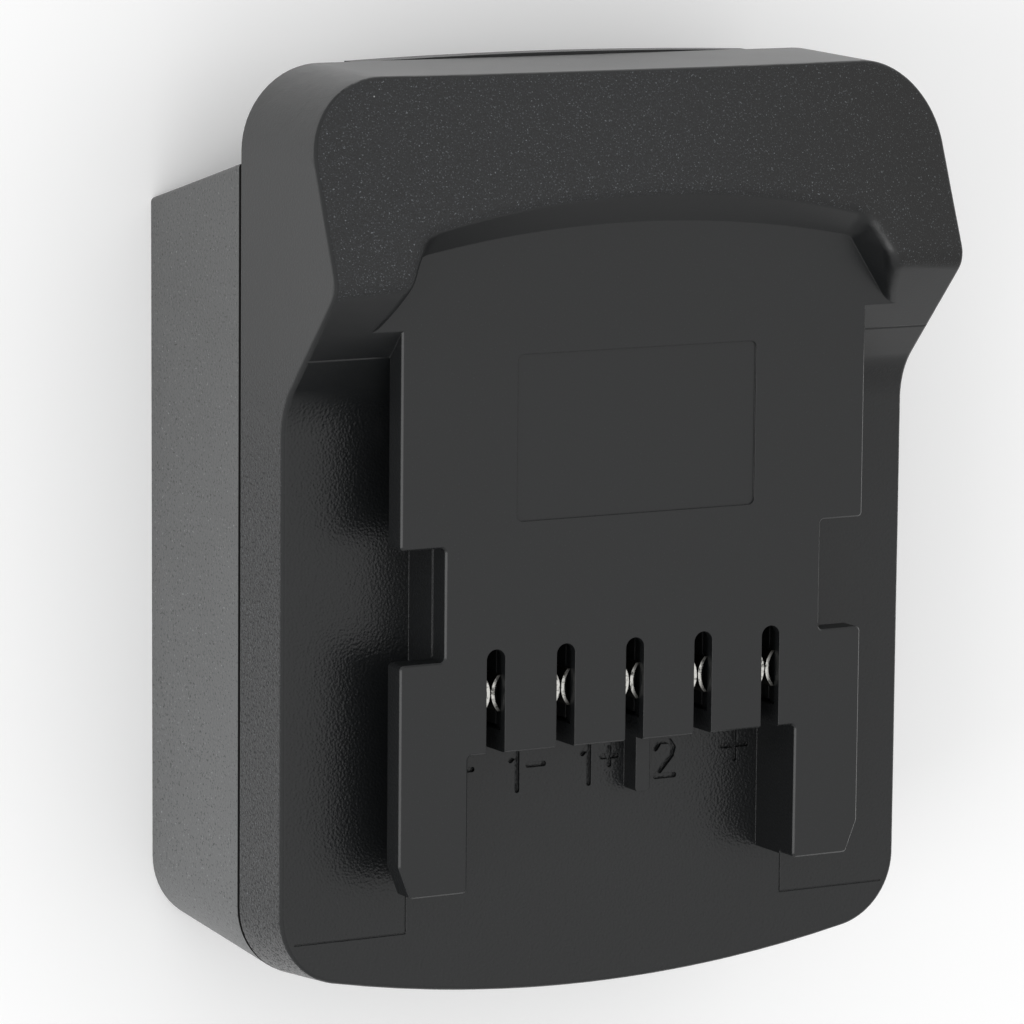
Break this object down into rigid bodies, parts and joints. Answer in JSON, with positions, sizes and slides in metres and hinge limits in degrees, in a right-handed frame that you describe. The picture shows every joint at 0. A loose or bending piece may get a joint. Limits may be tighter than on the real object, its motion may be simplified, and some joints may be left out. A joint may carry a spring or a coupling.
{
  "type": "tool battery adapter",
  "caption": "Slide-on adapter that lets a rail-type battery pack drive a cordless tool with a different rail; sprung release button and latch lugs.",
  "frame": {"origin": "centre of the flat rim it stands on, on the pack side", "axes": "+Z out of the tool deck, away from the pack; +Y towards the humped end with the release button; +X to the right when the deck faces the viewer with the hump at the top"},
  "size_m": [0.075, 0.0989, 0.0424],
  "materials": {
    "shell_black": "fine-grained semi-matt moulded black",
    "button_black": "fine-grained moulded black",
    "latch_nylon": "smooth glass-filled nylon",
    "carrier_black": "smooth moulded black",
    "contact_tin": "tin-plated copper alloy, satin",
    "spring_steel": "drawn spring wire",
    "screw_steel": "zinc-plated",
    "board_green": "solder-mask lacquer",
    "chip_black": "moulded epoxy",
    "fuse_cream": "fired ceramic, satin",
    "capacitor_can": "drawn can",
    "lead_red": "soft sleeve",
    "lead_black": "soft sleeve",
    "lead_yellow": "soft sleeve"
  },
  "bodies": {
    "shell": {"tool_side_cover": "shell_black", "battery_side_housing": "shell_black", "latch_plate": "latch_nylon", "return_springs": "spring_steel", "contact_carrier": "carrier_black", "terminal_block": "carrier_black", "clip_negative": "contact_tin", "clip_2": "contact_tin", "clip_3": "contact_tin", "clip_4": "contact_tin", "clip_positive": "contact_tin", "blade_negative": "contact_tin", "blade_positive": "contact_tin", "blade_signal_left": "contact_tin", "blade_signal_right": "contact_tin", "circuit_board": "board_green", "control_chip": "chip_black", "board_fuse": "fuse_cream", "board_capacitor": "capacitor_can", "lead_positive": "lead_red", "lead_negative": "lead_black", "signal_leads": "lead_yellow", "housing_screws": "screw_steel", "carrier_screws": "screw_steel", "latch_plate_screws": "screw_steel", "board_screws": "screw_steel", "block_screws": "screw_steel"},
    "release": {"release_button": "button_black", "latch_slide": "latch_nylon"},
    "left_lug": {"latch_lug_left": "latch_nylon"},
    "right_lug": {"latch_lug_right": "latch_nylon"}
  },
  "joints": [
    {"name": "release_press", "type": "slide", "parent": "shell", "child": "release", "axis": [0, -1, 0], "range_m": [0, 0.0026], "stiffness_N_per_m": 900, "springref_m": -0.004, "deforming": ["return_springs"]},
    {"name": "left_lug_draw", "type": "slide", "parent": "shell", "child": "left_lug", "axis": [1, 0, 0], "range_m": [0, 0.0026]},
    {"name": "right_lug_draw", "type": "slide", "parent": "shell", "child": "right_lug", "axis": [-1, 0, 0], "range_m": [0, 0.0026]}
  ],
  "couplings": [
    {"joint": "left_lug_draw", "follows": "release_press", "ratio": 1},
    {"joint": "right_lug_draw", "follows": "release_press", "ratio": 1}
  ]
}
